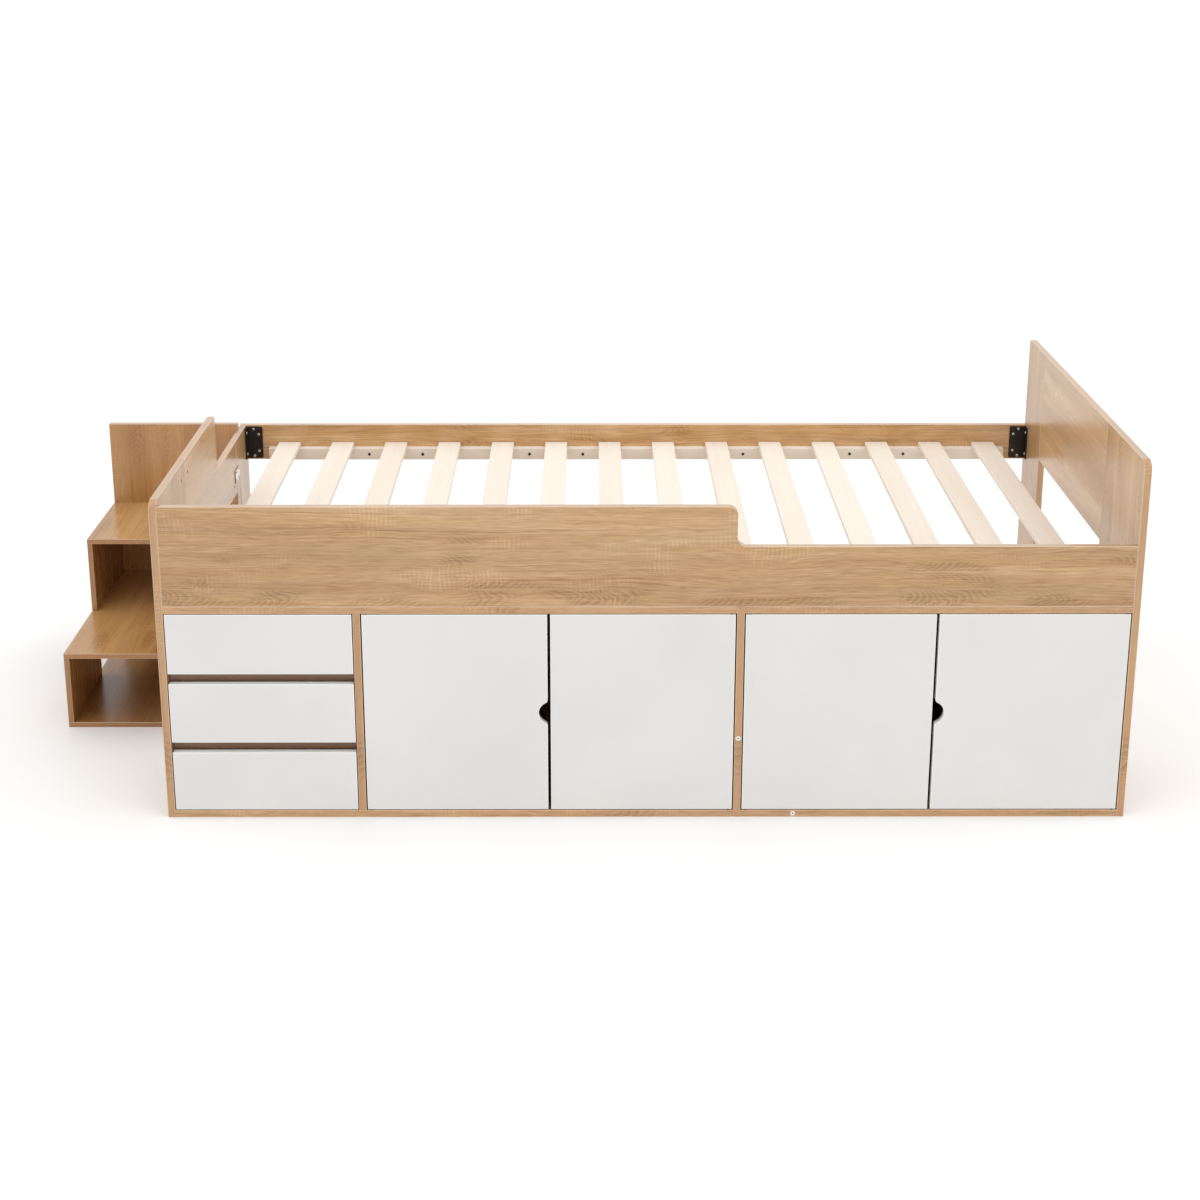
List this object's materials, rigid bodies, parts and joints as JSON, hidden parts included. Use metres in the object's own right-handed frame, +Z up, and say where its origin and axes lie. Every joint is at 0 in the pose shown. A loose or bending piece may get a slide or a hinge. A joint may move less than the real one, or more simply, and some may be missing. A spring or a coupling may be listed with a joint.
{
  "type": "storage bed frame",
  "caption": "Single storage bed frame in oak-look board with white drawer fronts and doors, a slatted base, a raised guard rail and box steps at the foot end.",
  "frame": {"origin": "centre of the overall footprint, bed and steps together, at floor level", "axes": "+X along the bed from the steps to the head end, +Y from the drawer and door fronts towards the back, +Z up"},
  "size_m": [2.264, 0.95, 0.762],
  "materials": {
    "oak_board": "satin oak-look melamine with visible grain",
    "white_board": "satin white melamine",
    "pale_wood": "planed softwood, untreated",
    "black_steel": "black powder coat",
    "zinc_steel": "zinc plated",
    "white_plastic": "smooth white"
  },
  "bodies": {
    "bed_body": {"foot_front_board": "oak_board", "foot_upper_board": "oak_board", "foot_rear_leg": "oak_board", "head_front_board": "oak_board", "head_upper_board": "oak_board", "head_rear_leg": "oak_board", "front_rail": "oak_board", "back_rail": "oak_board", "front_ledger": "pale_wood", "back_ledger": "pale_wood", "slats": "pale_wood", "front_corner_brackets": "black_steel", "back_corner_brackets": "black_steel", "wood_screws": "zinc_steel", "ledger_screws": "black_steel", "joining_plates": "zinc_steel", "dowels": "pale_wood", "connecting_screws": "zinc_steel", "screw_caps": "white_plastic", "bottom_board_left": "oak_board", "bottom_board_right": "oak_board", "top_board_left": "oak_board", "top_board_right": "oak_board", "drawer_divider": "oak_board", "centre_divider": "oak_board", "back_panel_left": "oak_board", "back_panel_right": "oak_board", "upper_drawer_rail": "oak_board", "lower_drawer_rail": "oak_board", "drawer_runners": "zinc_steel", "pivot_bushes": "white_plastic", "magnet_catches": "white_plastic", "steps_base": "oak_board", "lower_step_side": "oak_board", "lower_tread": "oak_board", "upper_step_side": "oak_board", "upper_tread": "oak_board", "steps_back_board": "oak_board", "steps_inner_side": "oak_board"},
    "drawer_1_body": {"drawer_1_front": "white_board", "drawer_1_box": "white_board", "drawer_1_bottom": "white_board", "drawer_1_runners": "zinc_steel"},
    "drawer_2_body": {"drawer_2_front": "white_board", "drawer_2_box": "white_board", "drawer_2_bottom": "white_board", "drawer_2_runners": "zinc_steel"},
    "drawer_3_body": {"drawer_3_front": "white_board", "drawer_3_box": "white_board", "drawer_3_bottom": "white_board", "drawer_3_runners": "zinc_steel"},
    "door_1_body": {"door_1": "white_board", "door_1_fittings": "zinc_steel"},
    "door_2_body": {"door_2": "white_board", "door_2_fittings": "zinc_steel"},
    "door_3_body": {"door_3": "white_board", "door_3_fittings": "zinc_steel"},
    "door_4_body": {"door_4": "white_board", "door_4_fittings": "zinc_steel"}
  },
  "joints": [
    {"name": "drawer_1_slide", "type": "slide", "parent": "bed_body", "child": "drawer_1_body", "axis": [0, -1, 0], "range_m": [0, 0.17]},
    {"name": "drawer_2_slide", "type": "slide", "parent": "bed_body", "child": "drawer_2_body", "axis": [0, -1, 0], "range_m": [0, 0.17]},
    {"name": "drawer_3_slide", "type": "slide", "parent": "bed_body", "child": "drawer_3_body", "axis": [0, -1, 0], "range_m": [0, 0.17]},
    {"name": "door_1_hinge", "type": "hinge", "parent": "bed_body", "child": "door_1_body", "pos_m": [-0.403, -0.469, 0.2305], "axis": [0, 0, -1], "range_deg": [0, 90]},
    {"name": "door_2_hinge", "type": "hinge", "parent": "bed_body", "child": "door_2_body", "pos_m": [0.324, -0.469, 0.2305], "axis": [0, 0, 1], "range_deg": [0, 90]},
    {"name": "door_3_hinge", "type": "hinge", "parent": "bed_body", "child": "door_3_body", "pos_m": [0.359, -0.469, 0.2305], "axis": [0, 0, -1], "range_deg": [0, 90]},
    {"name": "door_4_hinge", "type": "hinge", "parent": "bed_body", "child": "door_4_body", "pos_m": [1.107, -0.469, 0.2305], "axis": [0, 0, 1], "range_deg": [0, 90]}
  ]
}
